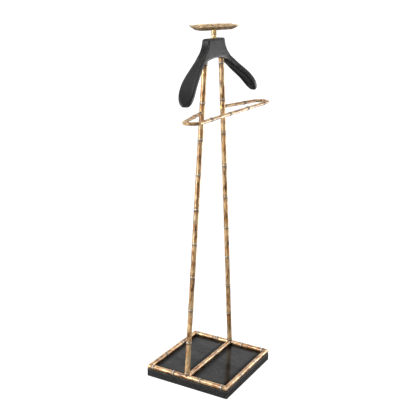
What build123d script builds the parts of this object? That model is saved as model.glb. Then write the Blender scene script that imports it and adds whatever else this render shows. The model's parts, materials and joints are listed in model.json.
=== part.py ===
# Valet stand: a black wooden base framed in bamboo-pattern gilt tube, two leaning posts, a looped
# trouser rail, a carved shoulder hanger and a small flared dish that turns on top.
# Frame: +Z up, millimetres. Origin on the floor under the middle of the slab. +X runs from the left
# post to the right post. The front, where the trouser rail stands out, is -Y.
from build123d import *
import math
import os

os.makedirs("parts", exist_ok=True)

# ---------------------------------------------------------------- driving dimensions
SLAB_X = 300.0            # slab width, along the line of the posts
SLAB_Y = 290.0            # slab depth
SLAB_TOP = 26.0           # top of the slab above the floor
SLAB_CORNER = 3.0         # rounding of the upright corners
SLAB_EDGE = 1.2           # rounding of the top and bottom edges
PAD_PROUD = 1.0           # felt pads lift the slab off the floor
PAD_R = 11.0
PAD_T = 3.0
PAD_X, PAD_Y = 116.0, 108.0

BAR_R = 7.25              # frame bar radius
BAR_Z = 33.0              # axis of the frame bars
BAR_X = 142.5             # left and right bar axes at +-X
BAR_Y = 137.5             # front and back bar axes at +-Y
BAR_NODE = 48.0           # node rings of a bar, either side of its middle
BAR_END_NODE = 124.0      # outer node rings of the left and right bars

PANEL_T = 2.6             # glossy panels
PANEL_GAP = 7.1           # from a bar's axis to the panel's edge

POST_R = 8.0
POST_TOP_X = 49.1         # half the distance between post axes at POST_TOP_Z
POST_TOP_Z = 996.4
FIRST_NODE = 110.0        # first node ring above the foot, along the post
NODE_PITCH = 104.9        # distance between node rings of a post
NODE_COUNT = 9
POST_BORE_R = 6.4         # the post is a tube
PLUG_LEN = 32.0           # threaded plug in each end

RAIL_R = 5.2
RAIL_Z = 850.6
RAIL_REACH = 82.0         # front bar ahead of the posts
RAIL_RIGHT = 228.5        # from the middle to the tube's axis at the right end
RAIL_LEFT = 238.5         # and at the left end: the loop was bent by hand
RAIL_SPLAY = 13.0         # degrees that each arm runs forward of straight out
RAIL_TILT = 1.7           # degrees: the loop sits higher at +X
RAIL_NODES_FRONT = (-155.0, -47.0, 67.0, 177.5)
RAIL_NODES_ARM = (-137.0, 163.0)

HANGER_Y = -2.0           # middle of the hanger's block
HANGER_TILT = 2.2         # degrees: the hanger sits higher at +X
HANGER_TURN = -2.0        # degrees about the upright
BLOCK_X, BLOCK_Y = 87.0, 26.0
BLOCK_TOP = 1057.5
ARCH_Z = 1002.0           # underside of the block
WING_SWEEP = 0.00113      # forward sweep of the wings, mm per mm squared beyond the block

NECK_R = 7.2
NECK_X = 1.5              # the neck stands this far right of the block's middle
NECK_TOP = 1080.5
DISH_TILT = 1.4           # degrees: the dish leans this much more than the hanger
DISH_TURN = -36.0         # degrees: the dish at rest, turned on its screw
DISH_X, DISH_Y = 130.0, 103.0     # over the rim
DISH_BASE_X, DISH_BASE_Y = 104.0, 50.0
DISH_H = 12.0
DISH_T = 1.8

STUD_R = 3.0
HOLE_GAP = 0.15           # radial clearance of a stud or screw in its hole
RUN_GAP = 0.05            # radial clearance of the dish on its screw
LEAN = math.degrees(math.atan((BAR_X - POST_TOP_X) / (POST_TOP_Z - BAR_Z)))
POST_LEN = math.hypot(BAR_X - POST_TOP_X, POST_TOP_Z - BAR_Z)
POST_END = POST_LEN + 6.0 # the tube's upper end, sunk in its socket in the hanger


# ---------------------------------------------------------------- helpers
def rod(radius, low, high):
    """Cylinder on the Z axis from low to high."""
    return Pos(0, 0, low) * Cylinder(radius, high - low, align=(Align.CENTER, Align.CENTER, Align.MIN))


def cane(low, high, radius, nodes, ridge=1.0):
    """Bamboo-pattern rod on the Z axis. Each node is a swelling with a ridge and a groove below it."""
    with BuildPart() as made:
        with BuildSketch(Plane.XZ):
            with BuildLine():
                here = (radius, low)
                for z in nodes:
                    foot = (radius, z - 7.0)
                    swell = (radius + 0.35 * ridge, z - 2.6)
                    groove = (radius + 0.05 * ridge, z - 1.6)
                    lip = (radius + 0.55 * ridge, z - 0.9)
                    crest = (radius + ridge, z + 0.6)
                    back = (radius + 0.45 * ridge, z + 2.2)
                    calm = (radius, z + 7.5)
                    Line(here, foot)
                    Line(foot, swell)
                    Line(swell, groove)
                    Line(groove, lip)
                    ThreePointArc(lip, crest, back)
                    Line(back, calm)
                    here = calm
                Line(here, (radius, high))
                Polyline((radius, high), (0, high), (0, low), (radius, low))
            make_face()
        revolve(axis=Axis.Z)
    return made.part


def bead(radius, ridge):
    """One node on its own, to be joined to a bent tube; its two ends sink just below the tube's skin."""
    with BuildPart() as made:
        with BuildSketch(Plane.XZ):
            with BuildLine():
                Polyline(
                    (radius - 2.0, 6.5),
                    (radius - 2.0, -6.5),
                    (radius - 0.25, -6.5),
                    (radius + 0.35 * ridge, -2.6),
                    (radius + 0.1 * ridge, -1.6),
                    (radius + 0.55 * ridge, -0.9),
                )
                ThreePointArc(
                    (radius + 0.55 * ridge, -0.9), (radius + ridge, 0.6), (radius + 0.45 * ridge, 2.2)
                )
                Polyline((radius + 0.45 * ridge, 2.2), (radius - 0.25, 6.5), (radius - 2.0, 6.5))
            make_face()
        revolve(axis=Axis.Z)
    return made.part


def both_sides(shape):
    """The shape and its mirror image in the YZ plane, as separate solids."""
    return Compound(children=[*shape.solids(), *mirror(shape, about=Plane.YZ).solids()])


def keep(shape, node):
    export_step(shape, f"parts/{node}.step")


# Along the right post: origin where its axis crosses the axis of the right bar, Z up the post.
RIGHT_POST = Pos(BAR_X, 0, BAR_Z) * Rot(0, -LEAN, 0)
# The hanger, neck and dish share one frame that leans a little from the upright.
TOP = Pos(0, 0, POST_TOP_Z) * Rot(0, -HANGER_TILT, HANGER_TURN) * Pos(0, 0, -POST_TOP_Z)
NECK_FRAME = TOP * Pos(NECK_X, HANGER_Y, 0)
DISH_FRAME = NECK_FRAME * Pos(0, 0, NECK_TOP) * Rot(0, -DISH_TILT, 0)

# ---------------------------------------------------------------- base slab
slab = Pos(0, 0, PAD_PROUD) * Box(
    SLAB_X, SLAB_Y, SLAB_TOP - PAD_PROUD, align=(Align.CENTER, Align.CENTER, Align.MIN)
)
slab = fillet(slab.edges().filter_by(Axis.Z), SLAB_CORNER)
slab = fillet(slab.faces().sort_by(Axis.Z)[-1].edges() + slab.faces().sort_by(Axis.Z)[0].edges(), SLAB_EDGE)

# Felt pads under the four corners and the middle; the middle one marks the origin.
pad_places = [Pos(0, 0, 0)] + [Pos(x, y, 0) for x in (-PAD_X, PAD_X) for y in (-PAD_Y, PAD_Y)]
for place in pad_places:
    slab -= place * rod(PAD_R + 0.3, 0, PAD_T)

# Each frame bar is held by two wood screws from below; the centre bar too.
SCREW_IN = 92.0
screw_places = [Pos(x, y, 0) for y in (-BAR_Y, BAR_Y) for x in (-SCREW_IN, SCREW_IN)]
screw_places += [Pos(x, y, 0) for x in (-BAR_X, BAR_X) for y in (-SCREW_IN + 12, SCREW_IN - 12)]
screw_places += [Pos(x, 0, 0) for x in (-SCREW_IN, SCREW_IN)]
SCREW_HEAD_Z = 6.0
SCREW_TIP_Z = 35.0
SCREW_R = 1.8
screw_hole = rod(SCREW_R + HOLE_GAP, PAD_PROUD - 1, SCREW_TIP_Z + 1) + rod(4.6, PAD_PROUD - 1, SCREW_HEAD_Z + 3)
for place in screw_places:
    slab -= place * screw_hole

# Each post's stud is a dowel screw: its lower half goes into a blind hole in the slab, on the post's lean.
STUD_LOW = -22.0          # lower end, along the post from the bar's axis
post_hole = rod(STUD_R + HOLE_GAP, STUD_LOW - 1, 0)
slab -= RIGHT_POST * post_hole
slab -= mirror(RIGHT_POST * post_hole, about=Plane.YZ)
keep(slab, "base_slab")

keep(Compound(children=[place * rod(PAD_R, 0, PAD_T) for place in pad_places]), "felt_pads")

# ---------------------------------------------------------------- frame bars
screw = rod(SCREW_R, SCREW_HEAD_Z, SCREW_TIP_Z) + rod(4.2, SCREW_HEAD_Z, SCREW_HEAD_Z + 3)
screw -= Pos(0, 0, SCREW_HEAD_Z) * Box(5.5, 1.0, 2.4)
keep(Compound(children=[place * screw for place in screw_places]), "bar_screws")

bar_screw_holes = [place * rod(SCREW_R + HOLE_GAP, SLAB_TOP - 1, SCREW_TIP_Z + 1) for place in screw_places]
floor_cut = Pos(0, 0, SLAB_TOP - 10) * Box(600, 600, 20)


def mitred(half_length, nodes):
    """Bar along X, centred on the Z axis, its ends cut at 45 degrees with the long side outwards (-Y)."""
    long = half_length + BAR_R
    bar = Rot(0, 90, 0) * cane(-long, long, BAR_R, nodes, 0.8)
    wedge = Polyline((half_length - 20, 20), (half_length + 20, -20), (half_length + 60, 20), close=True)
    cut = Pos(0, 0, -20) * extrude(make_face(wedge), 40)
    return bar - cut - mirror(cut, about=Plane.YZ)


def seat_bar(bar):
    """Level the underside on the slab and drill for the screws."""
    bar -= floor_cut
    for hole in bar_screw_holes:
        bar -= hole
    return bar


MITRE_GAP = 0.05
front_bar = Pos(0, -BAR_Y, BAR_Z) * mitred(BAR_X - MITRE_GAP, (-BAR_NODE, BAR_NODE))
side_bar = mitred(BAR_Y - MITRE_GAP, (-BAR_END_NODE, -BAR_NODE, BAR_NODE, BAR_END_NODE))
right_bar = Pos(BAR_X, 0, BAR_Z) * Rot(0, 0, 90) * side_bar
stud_hole = rod(STUD_R + HOLE_GAP, -45, 45)
right_bar -= RIGHT_POST * stud_hole
keep(seat_bar(front_bar), "bar_front")
keep(seat_bar(mirror(front_bar, about=Plane.XZ)), "bar_back")
keep(seat_bar(right_bar), "bar_right")
keep(seat_bar(mirror(right_bar, about=Plane.YZ)), "bar_left")

centre = Pos(0, 0, BAR_Z) * Rot(0, 90, 0) * cane(-BAR_X, BAR_X, BAR_R, (-BAR_NODE + 4, BAR_NODE - 4), 0.8)
cope = Pos(BAR_X, 0, BAR_Z) * Rot(90, 0, 0) * Cylinder(BAR_R + 0.1, 60)
cope += RIGHT_POST * stud_hole
centre = centre - cope - mirror(cope, about=Plane.YZ)
keep(seat_bar(centre), "bar_centre")

# ---------------------------------------------------------------- glossy panels
panel_x = 2 * (BAR_X - PANEL_GAP)
panel_y = BAR_Y - 2 * PANEL_GAP
panel = extrude(RectangleRounded(panel_x, panel_y, 1.5), PANEL_T)
panel = Pos(0, -BAR_Y / 2, SLAB_TOP) * panel
keep(panel, "panel_front")
keep(mirror(panel, about=Plane.XZ), "panel_back")

# ---------------------------------------------------------------- posts
post_nodes = [11.5] + [FIRST_NODE + NODE_PITCH * k for k in range(NODE_COUNT)]
post = cane(0, POST_END, POST_R, post_nodes, 1.1)
post -= rod(POST_BORE_R, -5, POST_END + 5)
right_post = RIGHT_POST * post
right_post -= Pos(BAR_X, 0, BAR_Z) * Rot(90, 0, 0) * Cylinder(BAR_R + 0.1, 60)
right_post -= Pos(BAR_X - 20, 0, BAR_Z) * Rot(0, 90, 0) * Cylinder(BAR_R + 0.1, 40)
right_post -= Pos(BAR_X, 0, BAR_Z - 30) * Box(60, 60, 60)

# The rail's screw passes straight through the post along the rail arm.
RAIL_FRAME = Pos(0, 0, RAIL_Z) * Rot(0, -RAIL_TILT, 0)
rail_s = (RAIL_Z - BAR_Z) / math.cos(math.radians(LEAN))
rail_x = BAR_X - (RAIL_Z - BAR_Z) * math.tan(math.radians(LEAN))
arm_frame = Pos(rail_x, 0, 0) * Rot(0, 90 , 0)
RAIL_SCREW_R = 2.0
rail_screw = rod(RAIL_SCREW_R, -8.6, 30) + rod(4.0, -11.4, -8.6)
rail_screw -= Pos(0, 0, -11.4) * Box(5.0, 1.0, 2.2)
rail_hole = arm_frame * rod(RAIL_SCREW_R + HOLE_GAP, -20, 31)
left_post = mirror(right_post, about=Plane.YZ)
right_post -= RAIL_FRAME * rail_hole
left_post -= RAIL_FRAME * mirror(rail_hole, about=Plane.YZ)
keep(right_post, "post_right")
keep(left_post, "post_left")

# Threaded plugs close the tube's ends and carry the studs.
plug_bore = rod(STUD_R + HOLE_GAP, -5, POST_END + 5)
low_plug = rod(POST_BORE_R - 0.1, 8.5, 8.5 + PLUG_LEN) - plug_bore
high_plug = rod(POST_BORE_R - 0.1, POST_END - PLUG_LEN, POST_END) - plug_bore
keep(both_sides(RIGHT_POST * Compound(children=[low_plug, high_plug])), "post_plugs")

keep(both_sides(RIGHT_POST * rod(STUD_R, STUD_LOW, 36)), "base_studs")

# ---------------------------------------------------------------- trouser rail
# Loop in plan: straight arm, a tight bend, the front bar, and the same again on the left.
splay = math.radians(RAIL_SPLAY)
start_x = rail_x + POST_R + 0.3
arm_start = (start_x, -(start_x - rail_x) * math.tan(splay))


def loop_end(reach_x):
    """Points of one end of the loop, on the +X side: arm's end, middle of the bend, start of the front."""
    bend = RAIL_REACH * math.cos(splay) - (reach_x - rail_x) * math.sin(splay)
    bend /= 1 - math.sin(splay) + math.cos(splay)
    x, y = reach_x - bend, bend - RAIL_REACH
    arm_end = (x + bend * math.sin(splay), y + bend * math.cos(splay))
    bend_mid = (x + bend * math.cos(splay / 2), y + bend * math.sin(splay / 2))
    return arm_end, bend_mid, (x, -RAIL_REACH)


def flip(point):
    return (-point[0], point[1])


right_arm_end, right_bend_mid, right_bend_end = loop_end(RAIL_RIGHT)
left_arm_end, left_bend_mid, left_bend_end = [flip(point) for point in loop_end(RAIL_LEFT)]
with BuildLine() as loop:
    Line(arm_start, right_arm_end)
    ThreePointArc(right_arm_end, right_bend_mid, right_bend_end)
    Line(right_bend_end, left_bend_end)
    ThreePointArc(left_bend_end, left_bend_mid, left_arm_end)
    Line(left_arm_end, flip(arm_start))
tube_start = Plane(origin=(*arm_start, 0), z_dir=(math.cos(splay), -math.sin(splay), 0))
rail = sweep(tube_start * Circle(RAIL_R), path=loop.wire())
for x in RAIL_NODES_FRONT:
    rail += Pos(x, -RAIL_REACH, 0) * Rot(0, 90, 0) * bead(RAIL_R, 1.3)
for x in RAIL_NODES_ARM:
    side = math.copysign(1, x)
    arm_dir = (side * math.cos(splay), -math.sin(splay), 0)
    at = Plane(origin=(x, -(abs(x) - rail_x) * math.tan(splay), 0), z_dir=arm_dir)
    rail += at.location * bead(RAIL_R, 1.3)
post_clear = Pos(0, 0, BAR_Z) * Pos(BAR_X, 0, 0) * Rot(0, -LEAN, 0) * rod(POST_R + 0.15, 700, 950)
rail = RAIL_FRAME * rail
rail -= post_clear
rail -= mirror(post_clear, about=Plane.YZ)
rail -= RAIL_FRAME * rail_hole
rail -= RAIL_FRAME * mirror(rail_hole, about=Plane.YZ)
keep(rail, "trouser_rail")
right_screw = arm_frame * rail_screw
keep(RAIL_FRAME * both_sides(right_screw), "rail_screws")

# ---------------------------------------------------------------- hanger
# The block in front view: flat top, flanks that flare into the shoulders, and an arch below.
flank = [(BLOCK_X / 2, BLOCK_TOP), (BLOCK_X / 2 + 3.0, BLOCK_TOP - 13), (53.5, 1029.5), (69.0, 1013.2), (88.0, 996.0)]
root_under = (78.0, 985.0)
with BuildPart() as carved:
    with BuildSketch(Plane.XZ.offset(-HANGER_Y - BLOCK_Y / 2)):
        with BuildLine():
            Line(flip(flank[0]), flank[0])
            for side in (1, -1):
                top, low, mid, out, root = [(side * x, z) for x, z in flank]
                Line(top, low)
                ThreePointArc(low, mid, out)
                Line(out, root)
                Line(root, (side * root_under[0], root_under[1]))
            ThreePointArc(root_under, (0, ARCH_Z), flip(root_under))
        make_face()
    extrude(amount=BLOCK_Y)
    fillet(carved.edges().filter_by(Axis.Y).group_by(Axis.Z)[-1], 5.0)
    fillet(carved.faces().sort_by(Axis.Y)[0].edges(), 3.0)
    fillet(carved.faces().sort_by(Axis.Y)[-1].edges(), 3.0)
block = carved.part

# Rows along a wing's spine: x, z of the middle, width front to back, thickness across the slope.
wing_rows = (
    (60.0, 1004.0, 25.4, 25.5),
    (80.0, 990.4, 28.8, 24.0),
    (100.5, 977.0, 32.8, 22.6),
    (122.0, 962.4, 38.4, 21.6),
    (142.5, 948.8, 43.0, 21.0),
    (163.0, 933.0, 45.6, 20.5),
    (179.0, 916.8, 45.2, 19.5),
    (189.3, 903.0, 39.8, 17.5),
    (195.0, 893.5, 30.5, 13.6),
    (198.0, 887.2, 16.0, 8.8),
)


def spine_y(x):
    return HANGER_Y - WING_SWEEP * max(0.0, x - BLOCK_X / 2) ** 2


spine = Spline([(x, spine_y(x), z) for x, z, width, thick in wing_rows])


def wing_loft(rows, trim, sink):
    """Loft of rounded sections square to the spine, trim narrower and sunk below it."""
    sections = []
    for x, z, width, thick in rows:
        middle = Vector(x, spine_y(x), z)
        along = spine.tangent_at(spine.param_at_point(middle))
        back = Vector(-along.Y, along.X, 0)
        at = Plane(origin=middle, x_dir=back, z_dir=along)
        section = RectangleRounded(width - trim, thick, min(width - trim, thick) * 0.36)
        sections.append(at * Pos(0, -sink * thick) * section)
    return loft(sections)


wing = wing_loft(wing_rows, 0, 0)
hollow = wing_loft(wing_rows[2:8], 12.0, 0.74)
hanger = block + wing + mirror(wing, about=Plane.YZ) - hollow - mirror(hollow, about=Plane.YZ)
neck_hole = Pos(NECK_X, HANGER_Y, 0) * rod(STUD_R + HOLE_GAP, BLOCK_TOP - 26, BLOCK_TOP + 5)
hanger = TOP * (hanger - neck_hole)
STUD_TOP = POST_LEN + 26
socket = rod(POST_R + 0.25, POST_END - 60, POST_END) + rod(STUD_R + HOLE_GAP, 900, STUD_TOP + 1)
socket = RIGHT_POST * socket
hanger -= socket
hanger -= mirror(socket, about=Plane.YZ)
keep(hanger, "hanger")
keep(both_sides(RIGHT_POST * rod(STUD_R, POST_END - 28, STUD_TOP)), "hanger_studs")

# ---------------------------------------------------------------- neck
neck = cane(BLOCK_TOP, NECK_TOP + 2, NECK_R, (NECK_TOP - 9.5,), 0.9)
neck -= rod(STUD_R + HOLE_GAP, BLOCK_TOP - 5, BLOCK_TOP + 10)
neck = NECK_FRAME * neck
neck -= DISH_FRAME * Pos(0, 0, 5) * Box(60, 60, 10)
neck -= DISH_FRAME * rod(2.5 + HOLE_GAP, -11, 5)
keep(neck, "neck")
keep(NECK_FRAME * rod(STUD_R, BLOCK_TOP - 25, BLOCK_TOP + 9), "neck_stud")

# ---------------------------------------------------------------- dish, on its centre screw
WASHER_T = 1.0
lift = WASHER_T
outer = loft([
    Pos(0, 0, lift) * RectangleRounded(DISH_BASE_X, DISH_BASE_Y, 12),
    Pos(0, 0, lift + DISH_H) * RectangleRounded(DISH_X, DISH_Y, 16),
])
inner = loft([
    Pos(0, 0, lift + DISH_T) * RectangleRounded(DISH_BASE_X, DISH_BASE_Y, 12),
    Pos(0, 0, lift + DISH_H + DISH_T) * RectangleRounded(DISH_X, DISH_Y, 16),
])
dish = outer - inner
dish -= rod(2.5 + RUN_GAP, -5, 20)
keep(DISH_FRAME * Rot(0, 0, DISH_TURN) * dish, "dish")
fibre = rod(6.6, 0, WASHER_T) - rod(2.5 + HOLE_GAP, -5, 5)
keep(DISH_FRAME * fibre, "dish_washer")
head_z = lift + DISH_T + 0.05
dish_screw = rod(2.5, -10, head_z + 1) + rod(5.2, head_z, head_z + 2.6)
dish_screw -= Pos(0, 0, head_z + 2.6) * Box(7.5, 1.1, 2.4)
keep(DISH_FRAME * dish_screw, "dish_screw")
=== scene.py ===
# %% [markdown]
# # A valet stand in black wood and bamboo-pattern gilt
# The measured model comes in first, as a fixed frame. Everything below either gives one of its pieces
# a finish, or stands a finer piece in the same place. All sizes are metres.

# %% Load the frame
import json
import math

import bmesh
import bpy
from mathutils import Matrix, Vector, noise


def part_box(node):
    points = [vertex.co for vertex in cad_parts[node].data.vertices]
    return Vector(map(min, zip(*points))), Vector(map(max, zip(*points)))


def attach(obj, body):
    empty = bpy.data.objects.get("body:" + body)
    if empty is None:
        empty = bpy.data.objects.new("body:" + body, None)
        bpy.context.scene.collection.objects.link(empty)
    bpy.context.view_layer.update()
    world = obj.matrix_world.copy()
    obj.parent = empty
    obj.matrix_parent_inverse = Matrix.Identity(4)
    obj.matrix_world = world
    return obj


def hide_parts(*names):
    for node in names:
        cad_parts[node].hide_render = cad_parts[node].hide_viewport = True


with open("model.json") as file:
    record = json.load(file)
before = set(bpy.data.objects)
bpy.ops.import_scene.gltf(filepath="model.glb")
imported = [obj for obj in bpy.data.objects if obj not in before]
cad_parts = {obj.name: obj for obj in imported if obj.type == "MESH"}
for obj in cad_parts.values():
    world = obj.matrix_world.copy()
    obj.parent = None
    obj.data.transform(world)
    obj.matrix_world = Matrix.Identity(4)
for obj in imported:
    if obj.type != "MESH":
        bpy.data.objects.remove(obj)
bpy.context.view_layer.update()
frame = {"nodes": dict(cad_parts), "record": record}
nodes = frame["nodes"]
record = frame["record"]
MM = 0.001
print("pieces in the frame:", len(nodes))

# %% [markdown]
# ## Where the parts are
# The slab, the bars and the posts give the places for everything. Bar axes come from the boxes of the
# bars. The few angles are those of the measured model: the posts lean in, the hanger and the neck
# lean a little together, and the dish leans along its own axis, which the record gives.

# %% Places
BAR_RADIUS, POST_RADIUS, NECK_RADIUS = 7.25 * MM, 8.0 * MM, 7.2 * MM
BAR_ABOVE_SLAB = 7.0 * MM
slab_low, slab_high = (Vector(corner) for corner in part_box("base_slab"))
bar_right_low, bar_right_high = (Vector(corner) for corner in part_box("bar_right"))
bar_front_low, bar_front_high = (Vector(corner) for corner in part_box("bar_front"))
BAR_X = (bar_right_low.x + bar_right_high.x) / 2
BAR_Y = -(bar_front_low.y + bar_front_high.y) / 2
BAR_Z = slab_high.z + BAR_ABOVE_SLAB
POST_TOP_X, POST_TOP_Z = 49.1 * MM, 996.4 * MM
POST_LEAN = math.atan((BAR_X - POST_TOP_X) / (POST_TOP_Z - BAR_Z))
POST_LENGTH = math.hypot(BAR_X - POST_TOP_X, POST_TOP_Z - BAR_Z)
TOP_TILT, TOP_TURN = math.radians(-2.2), math.radians(-2.0)
top_frame = (
    Matrix.Translation((0, 0, POST_TOP_Z))
    @ Matrix.Rotation(TOP_TILT, 4, "Y")
    @ Matrix.Rotation(TOP_TURN, 4, "Z")
    @ Matrix.Translation((0, 0, -POST_TOP_Z))
)
swivel = record["behaviour"]["joints"][0]
dish_pivot = Vector(swivel["pos_m"])
dish_axis = Vector(swivel["axis"]).normalized()
print("post lean", round(math.degrees(POST_LEAN), 2), "bar axes", round(BAR_X, 4), round(BAR_Y, 4))

# %% [markdown]
# ## Shader tools
# Every finish is made of the same few moves: a noise, a ramp of colours, a mix. Short helpers keep the
# materials readable. The first ones place a node, give a socket its link or value, and do arithmetic.


# %% Node helpers
def srgb(red, green, blue):
    """A screen colour, 0 to 255, as the linear colour that shaders work in."""
    shares = [part / 255 for part in (red, green, blue)]
    linear = [share / 12.92 if share <= 10 / 255 else ((share + 0.055) / 1.055) ** 2.4 for share in shares]
    return (*linear, 1.0)


def add(tree, kind, **settings):
    """A new node of a kind, with its plain settings."""
    node = tree.nodes.new(kind)
    for name, value in settings.items():
        setattr(node, name, value)
    return node


def put(tree, socket, source):
    """Give a socket a link or a plain value."""
    if isinstance(source, bpy.types.NodeSocket):
        tree.links.new(source, socket)
    else:
        socket.default_value = source


def math_node(tree, operation, first, second=0.0):
    node = add(tree, "ShaderNodeMath", operation=operation)
    put(tree, node.inputs[0], first)
    put(tree, node.inputs[1], second)
    return node.outputs[0]


def times(tree, first, second):
    return math_node(tree, "MULTIPLY", first, second)


def vector_node(tree, operation, first, second):
    node = add(tree, "ShaderNodeVectorMath", operation=operation)
    put(tree, node.inputs[0], first)
    put(tree, node.inputs[1], second)
    return node.outputs["Value" if operation == "DOT_PRODUCT" else "Vector"]


print("mid grey as linear light:", round(srgb(128, 128, 128)[0], 4))

# %% [markdown]
# The next ones make patterns: a noise, one range of values mapped onto another, a ramp of colours, a
# mix of two colours, and a bump, which roughens the light on a surface and leaves its outline alone.


# %% Pattern helpers
def noise_node(tree, vector, scale, detail=4.0, rough=0.55):
    node = add(tree, "ShaderNodeTexNoise")
    put(tree, node.inputs["Vector"], vector)
    node.inputs["Scale"].default_value = scale
    node.inputs["Detail"].default_value = detail
    node.inputs["Roughness"].default_value = rough
    return node.outputs["Fac"]


def span(tree, value, low, high, out_low=0.0, out_high=1.0):
    """Map one range of values onto another, smoothly and clamped."""
    node = add(tree, "ShaderNodeMapRange", interpolation_type="SMOOTHSTEP")
    put(tree, node.inputs["Value"], value)
    for name, bound in (("From Min", low), ("From Max", high), ("To Min", out_low), ("To Max", out_high)):
        put(tree, node.inputs[name], bound)
    return node.outputs["Result"]


def ramp(tree, value, *stops):
    """Colours along a value, as (position, colour) stops."""
    node = add(tree, "ShaderNodeValToRGB")
    put(tree, node.inputs["Fac"], value)
    elements = node.color_ramp.elements
    elements[0].position, elements[0].color = stops[0]
    elements[1].position, elements[1].color = stops[-1]
    for position, colour in stops[1:-1]:
        elements.new(position).color = colour
    return node.outputs["Color"]


def mix(tree, share, first, second, blend="MIX"):
    node = add(tree, "ShaderNodeMix", data_type="RGBA", blend_type=blend)
    put(tree, node.inputs["Factor"], share)
    put(tree, node.inputs["A"], first)
    put(tree, node.inputs["B"], second)
    return node.outputs["Result"]


def bump(tree, height, strength, distance):
    node = add(tree, "ShaderNodeBump")
    node.inputs["Strength"].default_value = strength
    node.inputs["Distance"].default_value = distance
    put(tree, node.inputs["Height"], height)
    return node.outputs["Normal"]


# %% [markdown]
# The last ones start a material or a node group, and place a group in a tree. Patterns are laid out in
# an object's own coordinates, so they stay on the piece when it moves.


# %% Material helpers
def material(name):
    """An empty material: its tree and its Principled shader."""
    made = bpy.data.materials.new(name)
    made.use_nodes = True
    tree = made.node_tree
    tree.nodes.clear()
    shader = add(tree, "ShaderNodeBsdfPrincipled")
    output = add(tree, "ShaderNodeOutputMaterial")
    tree.links.new(shader.outputs["BSDF"], output.inputs["Surface"])
    return made, tree, shader


def object_place(tree, scale=(1, 1, 1)):
    """The object's own coordinates, stretched."""
    place = add(tree, "ShaderNodeTexCoord").outputs["Object"]
    return vector_node(tree, "MULTIPLY", place, scale)


def group(name, inputs, outputs):
    """An empty node group with named sockets: its tree, its input node and its output node."""
    made = bpy.data.node_groups.new(name, "ShaderNodeTree")
    kinds = {"value": "NodeSocketFloat", "vector": "NodeSocketVector"}
    for direction, sockets in (("INPUT", inputs), ("OUTPUT", outputs)):
        for socket_name, kind in sockets:
            made.interface.new_socket(name=socket_name, in_out=direction, socket_type=kinds[kind])
    return made, add(made, "NodeGroupInput"), add(made, "NodeGroupOutput")


def use(tree, made, **values):
    """Place a group in a tree, with its inputs by name."""
    node = add(tree, "ShaderNodeGroup", node_tree=made)
    for name, value in values.items():
        put(tree, node.inputs[name], value)
    return node


# %% [markdown]
# ## Effects that several finishes share
# Age shows as soft patches, as fine specks where dust and rubbing sit, and as wood grain. Each is one
# node group, built once, and every finish places it with its own values. Patches are a noise cut at
# its middle: the sharper they are, the narrower the band between none and all.

# %% Patches
patch_inputs = [("Place", "vector"), ("Scale", "value"), ("Sharp", "value")]
patches, given, result = group("patches", patch_inputs, [("Mask", "value")])
broad = add(patches, "ShaderNodeTexNoise")
patches.links.new(given.outputs["Place"], broad.inputs["Vector"])
patches.links.new(given.outputs["Scale"], broad.inputs["Scale"])
broad.inputs["Detail"].default_value = 5.0
broad.inputs["Roughness"].default_value = 0.62
half_width = math_node(patches, "DIVIDE", 0.25, given.outputs["Sharp"])
low_edge = math_node(patches, "SUBTRACT", 0.5, half_width)
high_edge = math_node(patches, "ADD", 0.5, half_width)
patches.links.new(span(patches, broad.outputs["Fac"], low_edge, high_edge), result.inputs["Mask"])
print("patches:", len(patches.nodes), "nodes")

# %% [markdown]
# Specks are the middles of small cells. A second, broad noise keeps only some regions of them, because
# dust gathers in places.

# %% Specks
speck_inputs = [("Place", "vector"), ("Scale", "value"), ("Amount", "value")]
specks, given, result = group("specks", speck_inputs, [("Mask", "value")])
cells = add(specks, "ShaderNodeTexVoronoi")
specks.links.new(given.outputs["Place"], cells.inputs["Vector"])
specks.links.new(given.outputs["Scale"], cells.inputs["Scale"])
dot = span(specks, cells.outputs["Distance"], 0.28, 0.08)
where = noise_node(specks, given.outputs["Place"], 22.0, 3.0)
threshold = math_node(specks, "SUBTRACT", 1.0, given.outputs["Amount"])
kept = math_node(specks, "GREATER_THAN", where, threshold)
specks.links.new(times(specks, dot, kept), result.inputs["Mask"])
print("specks:", len(specks.nodes), "nodes")

# %% [markdown]
# Grain is two noises of different fineness: streaks and pores. Each finish stretches its coordinates
# along the wood, and that turns round blots into fibres.

# %% Grain
PORES_PER_STREAK = 4.3
grain_inputs = [("Place", "vector"), ("Fine", "value")]
grain, given, result = group("grain", grain_inputs, [("Streak", "value"), ("Pores", "value")])
streak_noise = add(grain, "ShaderNodeTexNoise")
grain.links.new(given.outputs["Place"], streak_noise.inputs["Vector"])
grain.links.new(given.outputs["Fine"], streak_noise.inputs["Scale"])
streak_noise.inputs["Detail"].default_value = 7.0
streak_noise.inputs["Roughness"].default_value = 0.7
grain.links.new(span(grain, streak_noise.outputs["Fac"], 0.35, 0.68), result.inputs["Streak"])
pore_scale = times(grain, given.outputs["Fine"], PORES_PER_STREAK)
pore_noise = add(grain, "ShaderNodeTexNoise")
grain.links.new(given.outputs["Place"], pore_noise.inputs["Vector"])
grain.links.new(pore_scale, pore_noise.inputs["Scale"])
pore_noise.inputs["Detail"].default_value = 3.0
grain.links.new(span(grain, pore_noise.outputs["Fac"], 0.56, 0.7), result.inputs["Pores"])
print("grain:", len(grain.nodes), "nodes")

# %% [markdown]
# ## Gilt cane
# The bars, posts, rail and neck are tube made to look like scorched bamboo: golden, with brown burns,
# fine lengthwise streaks, and at every node a pale ridge over a dark groove. A pattern must follow
# the tube round its bends, so each cane carries two attributes: `rest`, its place in the straight
# tube before it was bent or stood up, and `ring`, the distance to the nearest node.


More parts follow.
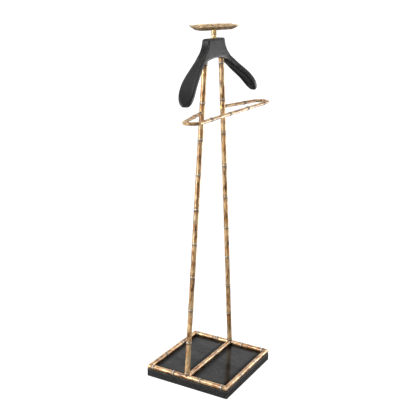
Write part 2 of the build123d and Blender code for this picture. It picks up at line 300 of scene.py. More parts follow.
# %% Cane finish
def cane_finish(name, tone, dirt, knuckle, pale_ring):
    made, tree, shader = material(name)
    rest = add(tree, "ShaderNodeAttribute", attribute_name="rest").outputs["Vector"]
    ring = add(tree, "ShaderNodeAttribute", attribute_name="ring").outputs["Fac"]
    long_place = vector_node(tree, "MULTIPLY", rest, (1.0, 1.0, 0.4))
    thin_place = vector_node(tree, "MULTIPLY", rest, (1.0, 1.0, 0.05))
    other_place = vector_node(tree, "ADD", long_place, (3.1, 0.7, 1.9))
    pale_place = vector_node(tree, "ADD", long_place, (9.2, 4.4, 0.3))
    burn = use(tree, patches, Place=long_place, Scale=60.0, Sharp=2.0).outputs["Mask"]
    deep = use(tree, patches, Place=other_place, Scale=130.0, Sharp=2.4).outputs["Mask"]
    pale = use(tree, patches, Place=pale_place, Scale=95.0, Sharp=2.4).outputs["Mask"]
    streak = noise_node(tree, thin_place, 520.0, 5.0, 0.65)
    gold_stops = ((0.34, srgb(150, 98, 50)), (0.5, srgb(204, 148, 84)), (0.66, srgb(236, 190, 126)))
    gold = ramp(tree, streak, *gold_stops)
    colour = mix(tree, times(tree, burn, 0.68), gold, srgb(122, 76, 40))
    deep_share = times(tree, deep, span(tree, burn, 0.0, 1.0, 0.3 + dirt, 0.9))
    colour = mix(tree, deep_share, colour, srgb(58, 36, 22))
    colour = mix(tree, times(tree, pale, 0.6), colour, srgb(248, 222, 176))
    colour = mix(tree, 1.0, colour, tone, "MULTIPLY")
    near = span(tree, math_node(tree, "ABSOLUTE", ring), 11 * MM, 3 * MM)
    colour = mix(tree, times(tree, near, knuckle), colour, srgb(84, 60, 40))
    ridge_low = span(tree, ring, -1.2 * MM, -0.4 * MM)
    ridge_high = span(tree, ring, 4.4 * MM, 2.4 * MM)
    ridge = times(tree, ridge_low, ridge_high)
    rubbed = span(tree, noise_node(tree, rest, 200.0, 3.0), 0.36, 0.58, 0.15 * pale_ring, pale_ring)
    colour = mix(tree, times(tree, ridge, rubbed), colour, srgb(204, 197, 184))
    groove_low = span(tree, ring, -3.4 * MM, -2.4 * MM)
    groove_high = span(tree, ring, -0.9 * MM, -1.7 * MM)
    groove = times(tree, groove_low, groove_high)
    colour = mix(tree, times(tree, groove, 0.9), colour, srgb(40, 29, 22))
    put(tree, shader.inputs["Base Color"], colour)
    plain_rough = span(tree, streak, 0.3, 0.7, 0.26, 0.4)
    put(tree, shader.inputs["Roughness"], math_node(tree, "ADD", times(tree, groove, 0.3), plain_rough))
    shader.inputs["Metallic"].default_value = 0.35
    shader.inputs["Coat Weight"].default_value = 0.3
    shader.inputs["Coat Roughness"].default_value = 0.16
    height = math_node(tree, "ADD", times(tree, streak, 0.6), times(tree, burn, 0.4))
    put(tree, shader.inputs["Normal"], bump(tree, height, 0.3, 0.5 * MM))
    return made


# %% [markdown]
# The four canes differ in tone, in dirt, in the brown round each node, and in how pale its ridge is.
# The bars are the brownest. The neck stands in the dish's shade, and its tone is raised well past real
# paint to make up for that, so in other light it will look too pale.

# %% Cane tones
cane_gilt = cane_finish("cane_gilt", (1.1, 1.04, 0.96, 1.0), 0.2, 0.4, 1.0)
rail_gilt = cane_finish("rail_cane_gilt", (0.9, 0.85, 0.78, 1.0), 0.2, 0.75, 0.3)
base_gilt = cane_finish("base_cane_gilt", (0.96, 0.87, 0.8, 1.0), 0.36, 0.42, 1.0)
neck_gilt = cane_finish("neck_cane_gilt", (2.5, 2.25, 1.85, 1.0), 0.0, 0.1, 0.2)
print("cane finish:", len(cane_gilt.node_tree.nodes), "nodes")

# %% [markdown]
# ## Cane pieces
# A cane is a turned shape: its outline is drawn once, as a chain of vertices, and spun round the Z
# axis. At each node the outline swells into a ridge with a groove under it, and between nodes it
# narrows a very little, as bamboo does. Then the whole cane is bent or stood in its place.

# %% Straight cane
NODE_OUTLINE = (
    (-12.0, 0.0), (-7.0, 0.05), (-4.6, 0.2), (-3.1, 0.36), (-2.3, 0.18), (-1.8, 0.02),
    (-1.3, 0.18), (-0.8, 0.62), (-0.1, 0.94), (0.7, 1.0), (1.5, 0.86), (2.3, 0.58),
    (3.4, 0.34), (5.4, 0.16), (8.4, 0.05), (12.0, 0.0),
)
REACH = 12 * MM
ROUND = 36
print("node outline:", len(NODE_OUTLINE), "points, cane sides:", ROUND)

# %% [markdown]
# Vertices are laid up the chain at the outline's points and evenly between them. `ring` is kept per
# face corner and measured from that face's own nearest node, so it never blends halfway between nodes.
# A slow noise then makes the section a little out of round.


# %% Turned cane

def cane_shape(low, high, radius, node_places, ridge, seed, waist=0.2 * MM, step=9 * MM):
    """A closed cane on the Z axis, with its rest and ring attributes."""
    stations = {low: 0.0, high: 0.0}
    for place in node_places:
        for offset, share in NODE_OUTLINE:
            if low < place + offset * MM < high:
                stations[place + offset * MM] = share * ridge
    known = sorted(stations)
    for start, end in zip(known, known[1:]):
        count = int((end - start) / step)
        for index in range(1, count + 1):
            share = index / (count + 1)
            stations[start + (end - start) * share] = -waist * math.sin(math.pi * share) if count > 3 else 0.0
    shape = bmesh.new()
    chain = [shape.verts.new((0, 0, low))]
    for height in sorted(stations):
        chain.append(shape.verts.new((radius + stations[height], 0, height)))
    chain.append(shape.verts.new((0, 0, high)))
    edges = [shape.edges.new(pair) for pair in zip(chain, chain[1:])]
    bmesh.ops.spin(
        shape, geom=chain + edges, cent=(0, 0, 0), axis=(0, 0, 1), angle=math.tau, steps=ROUND, use_merge=True
    )
    bmesh.ops.remove_doubles(shape, verts=shape.verts, dist=1e-6)
    rest = shape.verts.layers.float_vector.new("rest")
    ring = shape.loops.layers.float.new("ring")
    for face in shape.faces:
        height = face.calc_center_median().z
        nearest = min(node_places, key=lambda place: abs(height - place))
        for loop in face.loops:
            loop[ring] = max(-REACH, min(REACH, loop.vert.co.z - nearest))
    for vert in shape.verts:
        vert[rest] = vert.co + Vector((0, 0, seed * 3.7))
        swell = noise.noise(Vector((vert.co.x * 30, vert.co.y * 30, vert.co.z * 18 + seed * 5.3)))
        vert.co.x *= 1 + 0.02 * swell
        vert.co.y *= 1 + 0.02 * swell
    bmesh.ops.recalc_face_normals(shape, faces=shape.faces)
    return shape


# %% [markdown]
# A cane is made too long and sawn where it meets its neighbour. The finished shape becomes an object
# that rides on a body of the model and stands for the plain pieces that it replaces.


# %% Saw and place
def cut_end(shape, point, outward):
    """Saw off what lies beyond a plane, and close the cut."""
    cut = bmesh.ops.bisect_plane(
        shape, geom=shape.verts[:] + shape.edges[:] + shape.faces[:], dist=1e-6,
        plane_co=point, plane_no=outward, clear_outer=True,
    )
    rim = [part for part in cut["geom_cut"] if isinstance(part, bmesh.types.BMEdge)]
    bmesh.ops.holes_fill(shape, edges=rim, sides=0)


def place_piece(name, shape, finish, body, replaced=(), sharp=40):
    """Turn a bmesh into a piece that rides on a body and stands for its CAD nodes."""
    bmesh.ops.recalc_face_normals(shape, faces=shape.faces)
    mesh = bpy.data.meshes.new(name)
    shape.to_mesh(mesh)
    shape.free()
    mesh.materials.append(finish)
    mesh.polygons.foreach_set("use_smooth", [True] * len(mesh.polygons))
    mesh.set_sharp_from_angle(angle=math.radians(sharp))
    piece = bpy.data.objects.new(name, mesh)
    bpy.context.scene.collection.objects.link(piece)
    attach(piece, body)
    if replaced:
        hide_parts(*replaced)
    print(name, len(mesh.polygons), "faces")


# %% [markdown]
# ## Posts
# Each post is one straight cane with evenly spaced nodes, a low one just above its foot, and a last one
# under the hanger. It is turned on the Z axis, then leaned in about its foot.

# %% Posts
FIRST_NODE, NODE_PITCH, TOP_NODE = 113 * MM, 104.7 * MM, 957 * MM
post_nodes = [11.5 * MM] + [FIRST_NODE + NODE_PITCH * index for index in range(8)] + [TOP_NODE]
for side, name in ((-1, "left"), (1, "right")):
    post = cane_shape(3.5 * MM, POST_LENGTH + 6 * MM, POST_RADIUS, post_nodes, 1.1 * MM, 2.0 + side)
    stand_up = Matrix.Translation((side * BAR_X, 0, BAR_Z)) @ Matrix.Rotation(-side * POST_LEAN, 4, "Y")
    bmesh.ops.transform(post, matrix=stand_up, verts=post.verts)
    place_piece("cane_post_" + name, post, cane_gilt, "stand", ["post_" + name])

# %% [markdown]
# ## Frame bars
# The four outer bars meet in mitred corners. Each is a straight cane laid down and sawn at 45 degrees.

# %% Frame bars
BAR_NODES = (-48 * MM, 48 * MM)
SIDE_NODES = (-124 * MM, -48 * MM, 48 * MM, 124 * MM)
SAW_GAP = 0.12 * MM


def bar(name, half_length, bar_nodes, turn, centre, cuts, seed):
    over = half_length + 12 * MM
    shape = cane_shape(-over, over, BAR_RADIUS, bar_nodes, 0.8 * MM, seed)
    bmesh.ops.transform(shape, matrix=Matrix.Translation(centre) @ turn, verts=shape.verts)
    for corner, outward in cuts:
        outward = Vector(outward).normalized()
        cut_end(shape, Vector(corner) - outward * SAW_GAP, outward)
    place_piece("cane_" + name, shape, base_gilt, "stand", [name], sharp=35)


along_x = Matrix.Rotation(math.pi / 2, 4, "Y")
along_y = Matrix.Rotation(-math.pi / 2, 4, "X")
for side, name, seed in ((-1, "bar_front", 5.1), (1, "bar_back", 6.4)):
    y = side * BAR_Y
    cuts = [((end * BAR_X, y, BAR_Z), (end, -side, 0)) for end in (-1, 1)]
    bar(name, BAR_X, BAR_NODES, along_x, (0, y, BAR_Z), cuts, seed)
for side, name, seed in ((-1, "bar_left", 7.7), (1, "bar_right", 8.2)):
    x = side * BAR_X
    cuts = [((x, end * BAR_Y, BAR_Z), (-side, end, 0)) for end in (-1, 1)]
    bar(name, BAR_Y, SIDE_NODES, along_y, (x, 0, BAR_Z), cuts, seed)
centre_ends = [((end * (BAR_X - 4 * MM), 0, BAR_Z), (end, 0, 0)) for end in (-1, 1)]
bar("bar_centre", BAR_X, (-44 * MM, 44 * MM), along_x, (0, 0, BAR_Z), centre_ends, 9.5)

# %% [markdown]
# ## Trouser rail
# The rail is one long cane bent into a flat loop. It is made straight and then each vertex is carried
# onto the loop: straight arm, tight bend, front bar, and back. The `rest` attribute keeps the
# straight place, so the streaks run round the bends as they do on real bent cane.

# %% Rail loop
RAIL_RADIUS = 5.2 * MM
RAIL_HEIGHT, RAIL_TILT = 850.6 * MM, math.radians(-1.7)
RAIL_REACH, RAIL_SPLAY = 82.0 * MM, math.radians(13)
hinge_x = BAR_X - (RAIL_HEIGHT - BAR_Z) * math.tan(POST_LEAN)


def loop_half(reach_x):
    """One end of the loop: bend radius, bend centre, lengths of the bend and of the arm."""
    bend = RAIL_REACH * math.cos(RAIL_SPLAY) - (reach_x - hinge_x) * math.sin(RAIL_SPLAY)
    bend /= 1 - math.sin(RAIL_SPLAY) + math.cos(RAIL_SPLAY)
    centre = (reach_x - bend, bend - RAIL_REACH)
    arm = (centre[0] + bend * math.sin(RAIL_SPLAY) - hinge_x) / math.cos(RAIL_SPLAY)
    return bend, centre, bend * (math.pi - RAIL_SPLAY), arm


REACH_RIGHT, REACH_LEFT = 228.5 * MM, 238.5 * MM
halves = {1: loop_half(REACH_RIGHT), -1: loop_half(REACH_LEFT)}
print("bend radii:", [round(halves[side][0], 4) for side in (-1, 1)])

# %% [markdown]
# A distance along the cane, from the middle of the front bar, becomes a point and a direction in plan.


# %% Along the loop


def on_loop(distance):
    """Point and direction in plan, at a distance from the middle of the front bar, towards +X."""
    side = 1 if distance >= 0 else -1
    bend, (bend_x, bend_y), bend_length, arm = halves[side]
    left = abs(distance)
    if left <= bend_x:
        point, heading = Vector((left, -RAIL_REACH, 0)), Vector((1, 0, 0))
    elif left <= bend_x + bend_length:
        angle = (left - bend_x) / bend
        point = Vector((bend_x + bend * math.sin(angle), bend_y - bend * math.cos(angle), 0))
        heading = Vector((math.cos(angle), math.sin(angle), 0))
    else:
        heading = Vector((-math.cos(RAIL_SPLAY), math.sin(RAIL_SPLAY), 0))
        start = Vector((bend_x + bend * math.sin(RAIL_SPLAY), bend_y + bend * math.cos(RAIL_SPLAY), 0))
        point = start + heading * (left - bend_x - bend_length)
    if side < 0:
        point.x, heading.y = -point.x, -heading.y
    return point, heading


def along_arm(x):
    """Distance along the cane of the place on an arm above x."""
    side = 1 if x > 0 else -1
    bend, centre, bend_length, arm = halves[side]
    return side * (centre[0] + bend_length + arm - (abs(x) - hinge_x) / math.cos(RAIL_SPLAY))


print("front bar passes", [round(part, 3) for part in on_loop(0)[0]])

# %% [markdown]
# The nodes were set one by one and are uneven: four on the front bar and one on each arm.

# %% Trouser rail
rail_nodes = [-155 * MM, -47 * MM, 67 * MM, 177.5 * MM, along_arm(-137 * MM), along_arm(163 * MM)]
POST_CLEARANCE = 8.1 * MM
spans = {side: sum(halves[side][2:]) + halves[side][1][0] - POST_CLEARANCE for side in (-1, 1)}
rail_low, rail_high = -spans[-1], spans[1]
rail = cane_shape(rail_low, rail_high, RAIL_RADIUS, rail_nodes, 1.3 * MM, 12.3, 0.1 * MM, 3 * MM)
for vert in rail.verts:
    point, heading = on_loop(vert.co.z)
    across = Vector((-heading.y, heading.x, 0))
    vert.co = point + across * vert.co.x + Vector((0, 0, vert.co.y))
rail_frame = Matrix.Translation((0, 0, RAIL_HEIGHT)) @ Matrix.Rotation(RAIL_TILT, 4, "Y")
bmesh.ops.transform(rail, matrix=rail_frame, verts=rail.verts)
place_piece("cane_rail", rail, rail_gilt, "stand", ["trouser_rail"])

# %% [markdown]
# ## Neck
# A short cane between the hanger and the dish. Its top is sawn square to the dish's axis, so that the
# washer sits flat on it.

# %% Neck
NECK_BASE, NECK_TOP = 1057.5 * MM, 1080.5 * MM
neck = cane_shape(NECK_BASE - 1 * MM, NECK_TOP, NECK_RADIUS, (NECK_TOP - 9.5 * MM,), 0.9 * MM, 15.0)
neck_frame = top_frame @ Matrix.Translation((1.5 * MM, -2.0 * MM, 0))
bmesh.ops.transform(neck, matrix=neck_frame, verts=neck.verts)
cut_end(neck, dish_pivot, dish_axis)
place_piece("cane_neck", neck, neck_gilt, "stand", ["neck"])

# %% [markdown]
# ## Black wood
# The slab and the hanger are ebonised: stained black, with the grain still showing as fine grey
# streaks. Edges of the slab are rubbed grey. A point is near an edge of a box when the second smallest
# of its distances to the faces is small, and that needs only the box's own size. The hanger is not a
# box, so its lighter edges, part wear and part painted highlight, and the painted shade on its
# underside come from two attributes of its mesh.


# %% Ebonised finish
def ebonised(name, stretch, lift, gloss, box=None):
    made, tree, shader = material(name)
    place = object_place(tree)
    stretched = object_place(tree, stretch)
    wood = use(tree, grain, Place=stretched, Fine=260.0)
    cloud = use(tree, patches, Place=place, Scale=14.0, Sharp=0.8).outputs["Mask"]
    dark, light = srgb(22, 21, 22), srgb(*lift)
    colour = mix(tree, times(tree, wood.outputs["Streak"], 0.8), dark, light)
    colour = mix(tree, times(tree, wood.outputs["Pores"], 0.45), colour, srgb(12, 12, 12))
    colour = mix(tree, times(tree, cloud, 0.25), colour, srgb(46, 45, 46))
    dust = use(tree, specks, Place=place, Scale=420.0, Amount=0.42).outputs["Mask"]
    colour = mix(tree, times(tree, dust, 0.16), colour, srgb(120, 116, 110))
    if box:
        low, high = box
        middle, half = (low + high) / 2, (high - low) / 2
        shifted = vector_node(tree, "SUBTRACT", place, middle)
        inside = vector_node(tree, "SUBTRACT", half, vector_node(tree, "ABSOLUTE", shifted, (0, 0, 0)))
        parts = add(tree, "ShaderNodeSeparateXYZ")
        put(tree, parts.inputs[0], inside)
        x, y, z = parts.outputs
        total = math_node(tree, "ADD", math_node(tree, "ADD", x, y), z)
        least = math_node(tree, "MINIMUM", math_node(tree, "MINIMUM", x, y), z)
        most = math_node(tree, "MAXIMUM", math_node(tree, "MAXIMUM", x, y), z)
        second = math_node(tree, "SUBTRACT", math_node(tree, "SUBTRACT", total, least), most)
        worn = span(tree, noise_node(tree, place, 55.0, 5.0, 0.7), 0.42, 0.72)
        edge = times(tree, span(tree, second, 3.2 * MM, 0.4 * MM), worn)
        colour = mix(tree, times(tree, edge, 0.7), colour, srgb(118, 108, 96))
    else:
        # Lighter grey on sharp edges: part wear, part painted highlight.
        edge_wear_and_highlight = add(tree, "ShaderNodeAttribute", attribute_name="worn").outputs["Fac"]
        rubbed = span(tree, noise_node(tree, place, 70.0, 5.0, 0.7), 0.4, 0.62, 0.25, 1.0)
        colour = mix(tree, times(tree, edge_wear_and_highlight, rubbed), colour, srgb(150, 148, 146))
        # Painted shade: faces that look down are darkened almost to black by `under`.
        under = add(tree, "ShaderNodeAttribute", attribute_name="under").outputs["Fac"]
        colour = mix(tree, times(tree, under, 0.85), colour, srgb(3, 3, 3))
    put(tree, shader.inputs["Base Color"], colour)
    put(tree, shader.inputs["Roughness"], span(tree, wood.outputs["Streak"], 0.0, 1.0, 0.34, 0.5))
    shader.inputs["Specular IOR Level"].default_value = gloss
    relief = math_node(tree, "SUBTRACT", wood.outputs["Streak"], wood.outputs["Pores"])
    put(tree, shader.inputs["Normal"], bump(tree, relief, 0.35, 0.25 * MM))
    return made


slab_finish = ebonised("ebonised_slab", (0.08, 0.5, 1.0), (62, 61, 60), 0.3, (slab_low, slab_high))
hanger_finish = ebonised("ebonised_hanger", (0.12, 1.0, 0.5), (24, 24, 25), 0.27)
print("slab finish:", len(slab_finish.node_tree.nodes), "nodes")

# %% [markdown]
# Pieces of the measured model keep their shape. They only change their finish, in every slot they have.


# %% Give a finish to a model piece
def finish_node(name, made):
    mesh = nodes[name].data
    if not mesh.materials:
        mesh.materials.append(made)
    for index in range(len(mesh.materials)):
        mesh.materials[index] = made
    print(name, "wears", made.name)


finish_node("base_slab", slab_finish)

# %% [markdown]
# ## Hanger
# A carved hanger has no seams: block and shoulders flow together. The measured solid is right in
# size but made of joined bodies, so a copy of it is merged, skinned again in small even faces, and
# smoothed, which melts the joins as sanding would.

# %% Hanger skin
SKIN = 1.5 * MM
SMOOTHINGS = 7
copied = bmesh.new()
copied.from_mesh(nodes["hanger"].data)
bmesh.ops.remove_doubles(copied, verts=copied.verts, dist=1e-5)
rough_mesh = bpy.data.meshes.new("hanger_rough")
copied.to_mesh(rough_mesh)
copied.free()
rough = bpy.data.objects.new("hanger_rough", rough_mesh)
bpy.context.scene.collection.objects.link(rough)
skin = rough.modifiers.new("skin", "REMESH")
skin.mode = "VOXEL"
skin.voxel_size = SKIN
even = bpy.data.meshes.new_from_object(rough.evaluated_get(bpy.context.evaluated_depsgraph_get()))
bpy.data.objects.remove(rough)
carved = bmesh.new()
carved.from_mesh(even)
every_axis = {"use_axis_x": True, "use_axis_y": True, "use_axis_z": True}
for _ in range(SMOOTHINGS):
    bmesh.ops.smooth_vert(carved, verts=carved.verts, factor=0.5, **every_axis)
carved.normal_update()
print("hanger skin:", len(carved.verts), "points")

# %% [markdown]
# A vertex that stands out from its neighbours is on an edge, and hands wear edges; the edge is also
# lightened as a painted highlight, so `worn` is part wear and part painted highlight. How far a vertex
# stands out, averaged with its neighbours, is `worn`. The smoothing leaves very few edges that sharp, so
# the wear hardly shows: a lower WORN_FROM would spread it. Faces that look down are darkened by `under`,
# which is painted shade.

# %% Hanger wear, painted highlight and painted shade
WORN_FROM, WORN_RANGE = 0.04, 0.08
UNDER_FROM, UNDER_RANGE = 0.3, 0.3
edge_wear_and_highlight_mark = carved.verts.layers.float.new("worn")
underside_shade_mark = carved.verts.layers.float.new("under")
carved.verts.index_update()
sharpness = []
for vert in carved.verts:
    around = [edge.other_vert(vert).co for edge in vert.link_edges]
    sharpness.append(vert.normal.dot(vert.co - sum(around, Vector()) / len(around)) / SKIN)
for vert in carved.verts:
    near = [sharpness[edge.other_vert(vert).index] for edge in vert.link_edges] + [sharpness[vert.index]]
    # The edge mark: part wear, part painted highlight.
    vert[edge_wear_and_highlight_mark] = max(0.0, min(1.0, (sum(near) / len(near) - WORN_FROM) / WORN_RANGE))
    # Painted shade on faces that look down, kept off the edges.
    facing_down = max(0.0, min(1.0, (-vert.normal.z - UNDER_FROM) / UNDER_RANGE))
    vert[underside_shade_mark] = facing_down * (1 - vert[edge_wear_and_highlight_mark])
print("worn edge points", sum(vert[edge_wear_and_highlight_mark] > 0.5 for vert in carved.verts), "of", len(carved.verts))
place_piece("carved_hanger", carved, hanger_finish, "stand", ["hanger"], sharp=60)

# %% [markdown]
# ## Glossy panels
# Black lacquer, polished: it mirrors the posts, with faint smears in its gloss. A thin grey haze and a
# few flecks of dust lie on the open part. Along the bars the lacquer is left black and less glossy: that
# margin is painted shade, for the dark band the bars throw into the gloss.

# %% Lacquer
def lacquer_finish(name, box):
    made, tree, shader = material(name)
    place = object_place(tree)
    low, high = (Vector(corner) for corner in box)
    middle, half = (low + high) / 2, (high - low) / 2
    away = vector_node(tree, "ABSOLUTE", vector_node(tree, "SUBTRACT", place, middle), (0, 0, 0))
    parts = add(tree, "ShaderNodeSeparateXYZ")
    put(tree, parts.inputs[0], vector_node(tree, "SUBTRACT", half, away))
    edge = math_node(tree, "MINIMUM", parts.outputs[0], parts.outputs[1])
    # Painted shade: a black, less glossy margin along the bars; grey haze and dust lie only away from it.
    clear_of_bar_shade = span(tree, edge, 7 * MM, 26 * MM)
    long_place = object_place(tree, (1.0, 0.35, 1.0))
    smear = use(tree, patches, Place=long_place, Scale=20.0, Sharp=1.0).outputs["Mask"]
    scuff = use(tree, patches, Place=place, Scale=75.0, Sharp=1.6).outputs["Mask"]
    fleck = use(tree, specks, Place=place, Scale=230.0, Amount=0.46).outputs["Mask"]
    haze_and_bar_shade = times(tree, clear_of_bar_shade, span(tree, smear, 0.0, 1.0, 0.45, 1.0))
    colour = mix(tree, haze_and_bar_shade, srgb(5, 5, 6), srgb(32, 32, 32))
    scuffed = times(tree, times(tree, scuff, haze_and_bar_shade), 0.25)
    colour = mix(tree, scuffed, colour, srgb(66, 66, 65))
    colour = mix(tree, times(tree, fleck, clear_of_bar_shade), colour, srgb(112, 112, 110))
    put(tree, shader.inputs["Base Color"], colour)
    put(tree, shader.inputs["Roughness"], span(tree, smear, 0.0, 1.0, 0.08, 0.2))
    put(tree, shader.inputs["Specular IOR Level"], span(tree, haze_and_bar_shade, 0.0, 1.0, 0.07, 0.24))
    return made


for name in ("panel_front", "panel_back"):
    finish_node(name, lacquer_finish("lacquer_" + name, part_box(name)))

# %% [markdown]
# ## Dish
# The dish is beaten from sheet: a flat floor, sides that flare to a wide rim, and a rolled lip that
# is never quite even. It starts as one ring of vertices round the screw hole. Each step extrudes the
# ring and puts it on the next outline, out over the lip and back underneath to the hole again.


# %% Dish outlines
DISH_SIDES = 120
FLOOR = 1.06 * MM
THICK = 1.8 * MM
HOLE = 2.7 * MM
BASE_HALF = (52 * MM, 25 * MM)
RIM_HALF = (65 * MM, 51.5 * MM)


def waver(angle):
    """The lip's unevenness, the same every time."""
    return 0.5 * math.sin(5 * angle + 0.6) + 0.32 * math.sin(8 * angle + 2.1) + 0.2 * math.sin(13 * angle)


def set_ring(verts, half, height, wave, power=5.0):
    """Lay a ring on a rounded rectangle: a circle pushed towards its corners by the power."""
    for vert in verts:
        angle = vert[angle_mark]
        x, y = math.cos(angle), math.sin(angle)
        reach = (abs(x) ** power + abs(y) ** power) ** (-1 / power) * (1 + 0.012 * wave * waver(angle))
        rise = 0.75 * MM * wave * waver(angle + 1.1)
        vert.co = Vector((x * reach * half[0], y * reach * half[1], FLOOR + height + rise))


def next_ring(half, height, wave, power=5.0):
    """Extrude the open ring that was laid last and lay the new one on its outline."""
    grown = bmesh.ops.extrude_edge_only(dish, edges=open_ring[-1])["geom"]
    open_ring.append([part for part in grown if isinstance(part, bmesh.types.BMEdge) and part.is_boundary])
    set_ring({vert for edge in open_ring[-1] for vert in edge.verts}, half, height, wave, power)


def blended(share):
    """The outline's half sizes, part of the way from the floor's edge to the rim."""
    return [base + (rim - base) * share for base, rim in zip(BASE_HALF, RIM_HALF)]


print("rim:", [round(size * 2, 3) for size in RIM_HALF])

# %% [markdown]
# Each pair below is a share of the way from floor to rim, and a height in millimetres.

# %% Dish shape
dish = bmesh.new()
angle_mark = dish.verts.layers.float.new("angle")
bmesh.ops.create_circle(dish, cap_ends=False, segments=DISH_SIDES, radius=1.0)
for vert in dish.verts:
    vert[angle_mark] = math.atan2(vert.co.y, vert.co.x)
set_ring(dish.verts, (HOLE, HOLE), THICK, 0.0, 2.0)
open_ring = [dish.edges[:]]
for share in (0.3, 0.6, 0.93):
    next_ring([size * share for size in BASE_HALF], THICK, 0.0)
inside = [(0.0, 1.95), (0.1, 2.8), (0.35, 4.6), (0.6, 7.6), (0.82, 10.4)]
lip = [(0.93, 12.0), (0.975, 12.7), (1.0, 12.4), (0.995, 11.6), (0.96, 10.9)]
outside = [(0.8, 8.3), (0.58, 5.6), (0.33, 2.7), (0.12, 0.55), (0.02, 0.0)]
for share, height in inside + lip + outside:
    next_ring(blended(share), height * MM, share ** 2)
for share in (0.9, 0.6, 0.3):
    next_ring([size * share for size in BASE_HALF], 0.0, 0.0)
next_ring((HOLE, HOLE), 0.0, 0.0, 2.0)
bmesh.ops.bridge_loops(dish, edges=[edge for edge in dish.edges if edge.is_boundary])
print("dish open edges", sum(edge.is_boundary for edge in dish.edges))

# %% [markdown]
# The dish sits on its own leaning axis, turned a little from square to the hanger, as it was left.

# %% Dish in place
DISH_TURN = math.radians(-36.0)
side_axis = Vector((0, 1, 0)).cross(dish_axis).normalized()
dish_place = Matrix((side_axis, dish_axis.cross(side_axis), dish_axis)).transposed().to_4x4()
dish_place = Matrix.Translation(dish_pivot) @ dish_place @ Matrix.Rotation(DISH_TURN, 4, "Z")
print("dish axis leans", round(math.degrees(dish_axis.angle(Vector((0, 0, 1)))), 2))

# %% [markdown]
# ### Antique gilt
# Gold paint over metal, darkened to olive and brown, thin on the lip where hands have rubbed it; the lip is
# also paler as a painted highlight along the top of the rim.

# %% Gilt finish
gilt, tree, shader = material("antique_gilt")
place = object_place(tree)
tarnish = use(tree, patches, Place=place, Scale=70.0, Sharp=2.0).outputs["Mask"]
deep_place = vector_node(tree, "ADD", place, (4.0, 1.0, 2.0))
deep = use(tree, patches, Place=deep_place, Scale=110.0, Sharp=2.2).outputs["Mask"]
warm = noise_node(tree, place, 210.0, 5.0, 0.7)
gilt_stops = ((0.36, srgb(160, 118, 70)), (0.5, srgb(218, 178, 122)), (0.64, srgb(252, 232, 196)))
colour = ramp(tree, warm, *gilt_stops)
colour = mix(tree, times(tree, tarnish, 0.75), colour, srgb(112, 86, 50))
colour = mix(tree, times(tree, deep, 0.6), colour, srgb(66, 44, 30))
# Paler lip: part rubbed gilt, part painted highlight on the rim's top.
height = add(tree, "ShaderNodeAttribute", attribute_name="lip").outputs["Fac"]
lip_rub_and_highlight = span(tree, noise_node(tree, place, 130.0, 3.0), 0.35, 0.55, 0.3, 1.0)
colour = mix(tree, times(tree, height, lip_rub_and_highlight), colour, srgb(240, 214, 168))
put(tree, shader.inputs["Base Color"], colour)
put(tree, shader.inputs["Roughness"], span(tree, warm, 0.3, 0.7, 0.3, 0.48))
shader.inputs["Metallic"].default_value = 0.6
put(tree, shader.inputs["Normal"], bump(tree, warm, 0.35, 0.6 * MM))
LIP_FROM, LIP_RANGE = 11.2 * MM, 1.6 * MM
# The lip mark: part wear, part painted highlight.
lip_wear_and_highlight_mark = dish.verts.layers.float.new("lip")
for vert in dish.verts:
    vert[lip_wear_and_highlight_mark] = max(0.0, min(1.0, (vert.co.z - LIP_FROM) / LIP_RANGE))
bmesh.ops.transform(dish, matrix=dish_place, verts=dish.verts)
place_piece("beaten_dish", dish, gilt, "dish", ["dish"], sharp=70)

# %% [markdown]
# ## Small hardware
# Zinc-plated steel and turned brass: a brushed grain in the gloss and a little dirt. Fibre and felt
# are dull, and their nap is a fine bump.


# %% Hardware finishes
def turned_metal(name, light, dark, rough_low, rough_high):
    made, tree, shader = material(name)
    place = object_place(tree)
    lines = noise_node(tree, object_place(tree, (1.0, 1.0, 9.0)), 700.0, 4.0)
    dirt = use(tree, patches, Place=place, Scale=150.0, Sharp=1.2).outputs["Mask"]
    colour = mix(tree, times(tree, dirt, 0.5), light, dark)
    put(tree, shader.inputs["Base Color"], colour)
    put(tree, shader.inputs["Roughness"], span(tree, lines, 0.3, 0.7, rough_low, rough_high))
    shader.inputs["Metallic"].default_value = 1.0
    put(tree, shader.inputs["Normal"], bump(tree, lines, 0.15, 0.1 * MM))
    return made


def dull_stuff(name, light, dark, scale):
    made, tree, shader = material(name)
    place = object_place(tree)
    nap = noise_node(tree, place, scale, 6.0, 0.75)
    put(tree, shader.inputs["Base Color"], mix(tree, span(tree, nap, 0.35, 0.65), dark, light))
    put(tree, shader.inputs["Roughness"], span(tree, nap, 0.3, 0.7, 0.8, 0.95))
    put(tree, shader.inputs["Normal"], bump(tree, nap, 0.6, 0.4 * MM))
    return made


steel = turned_metal("zinc_steel", srgb(176, 178, 182), srgb(110, 108, 104), 0.28, 0.45)
brass = turned_metal("turned_brass", srgb(196, 160, 96), srgb(104, 78, 44), 0.26, 0.42)
felt = dull_stuff("black_felt", srgb(44, 44, 46), srgb(18, 18, 20), 1500.0)
fibre = dull_stuff("red_fibre", srgb(128, 58, 42), srgb(84, 36, 28), 700.0)
for name in ("bar_screws", "base_studs", "hanger_studs", "neck_stud"):
    finish_node(name, steel)
for name in ("post_plugs", "rail_screws", "dish_screw"):
    finish_node(name, brass)
finish_node("felt_pads", felt)
finish_node("dish_washer", fibre)

# %% [markdown]
# ## Floor and light
# A pale seamless floor. It reflects a middling grey, so that little light comes back up under the
# hanger, and its glow is for the camera's eye only.

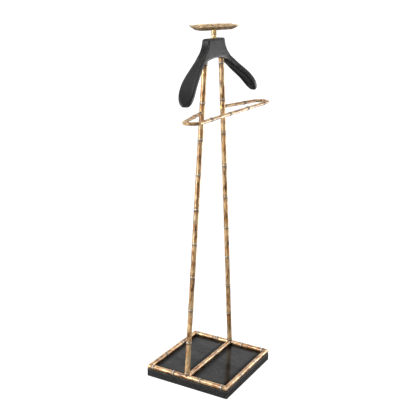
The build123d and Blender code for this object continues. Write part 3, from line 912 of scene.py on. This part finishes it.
# %% Floor
floor_shape = bmesh.new()
bmesh.ops.create_grid(floor_shape, x_segments=1, y_segments=1, size=30.0)
floor_mesh = bpy.data.meshes.new("floor")
floor_shape.to_mesh(floor_mesh)
floor_shape.free()
floor = bpy.data.objects.new("floor", floor_mesh)
bpy.context.scene.collection.objects.link(floor)
paper, tree, shader = material("floor_paper")
fibres = noise_node(tree, object_place(tree), 90.0, 3.0)
paper_stops = ((0.3, (0.36, 0.36, 0.36, 1)), (0.7, (0.4, 0.4, 0.4, 1)))
put(tree, shader.inputs["Base Color"], ramp(tree, fibres, *paper_stops))
shader.inputs["Roughness"].default_value = 0.9
shader.inputs["Specular IOR Level"].default_value = 0.0
shader.inputs["Emission Color"].default_value = (1, 1, 1, 1)
seen = add(tree, "ShaderNodeLightPath").outputs["Is Camera Ray"]
put(tree, shader.inputs["Emission Strength"], times(tree, seen, 0.9))
floor_mesh.materials.append(paper)
print("floor is", round(floor.dimensions.x), "metres wide")

# %% [markdown]
# The room is white ahead of the camera and dimmer behind it, so the black wood keeps its dark sides and
# the lacquer mirrors a bright wall. Seen directly, it is plain white.

# %% Room light
room = bpy.data.worlds.new("room")
bpy.context.scene.world = room
room.use_nodes = True
tree = room.node_tree
tree.nodes.clear()
toward = add(tree, "ShaderNodeTexCoord").outputs["Generated"]


def wall(direction, start, full, strength):
    """A soft bright part of the room, centred on a direction."""
    facing = vector_node(tree, "DOT_PRODUCT", toward, Vector(direction).normalized())
    return span(tree, facing, start, full, 0.0, strength)


AMBIENT = 0.09
far_wall = wall((0.84, 0.47, 0.27), 0.1, 0.9, 0.6)
right_wall = wall((0.62, -0.78, 0.0), 0.45, 0.95, 0.35)
ceiling = wall((0.0, 0.0, 1.0), -0.2, 0.9, 0.42)
level = math_node(tree, "ADD", far_wall, right_wall)
level = math_node(tree, "ADD", level, ceiling)
level = math_node(tree, "ADD", level, AMBIENT)
seen = add(tree, "ShaderNodeLightPath").outputs["Is Camera Ray"]
level = mix(tree, seen, level, (1.1, 1.1, 1.1, 1.0))
white = add(tree, "ShaderNodeBackground")
white.inputs["Color"].default_value = (1, 1, 1, 1)
put(tree, white.inputs["Strength"], level)
tree.links.new(white.outputs[0], add(tree, "ShaderNodeOutputWorld").inputs["Surface"])
print("room light:", len(tree.nodes), "nodes")

# %% [markdown]
# A tall soft light stands on the left, and draws the pale line down each cane. A card lights the front
# of the hanger, and a broad light above fills the tops.


# %% Soft lights
def soft_light(name, where, target, width, height, watts):
    lamp = bpy.data.lights.new(name, "AREA")
    lamp.shape = "RECTANGLE"
    lamp.size, lamp.size_y, lamp.energy = width, height, watts
    made = bpy.data.objects.new(name, lamp)
    made.location = where
    made.rotation_euler = (Vector(target) - Vector(where)).to_track_quat("-Z", "Y").to_euler()
    bpy.context.scene.collection.objects.link(made)
    print(name, watts, "watts")


soft_light("left_strip", (-1.9, 1.1, 1.0), (0, 0, 0.55), 0.35, 2.0, 46)
soft_light("front_card", (1.6, -1.0, 0.35), (0, 0, 1.0), 0.9, 0.9, 22)
soft_light("overhead", (-0.3, -0.4, 2.6), (0, 0, 0.3), 1.2, 1.2, 16)

# %% [markdown]
# ## Camera
# The camera stands in front and to the left, a little above the dish, with a long lens. Its aim is
# nudged by less than a thousandth, to the left and up.

# %% Camera
CAMERA_PLACE = Vector((-1.8479, -1.0273, 1.1374))
CAMERA_AHEAD = Vector((0.83959, 0.47133, -0.27008))
CAMERA_RIGHT = Vector((0.49225, -0.87038, 0.01129))
LENS, NUDGE = 61.44, 0.5 / 710
rough_up = CAMERA_RIGHT.cross(CAMERA_AHEAD)
ahead = (CAMERA_AHEAD - CAMERA_RIGHT * NUDGE + rough_up * NUDGE).normalized()
up = CAMERA_RIGHT.cross(ahead).normalized()
right = ahead.cross(up).normalized()
camera_data = bpy.data.cameras.new("camera")
camera_data.lens = LENS
camera_data.clip_start = 0.05
camera = bpy.data.objects.new("camera", camera_data)
camera.matrix_world = Matrix.Translation(CAMERA_PLACE) @ Matrix((right, up, -ahead)).transposed().to_4x4()
bpy.context.scene.collection.objects.link(camera)
bpy.context.scene.camera = camera
bpy.context.scene.view_settings.view_transform = "Standard"
print("camera looks down by", round(math.degrees(math.asin(-ahead.z)), 1), "degrees")
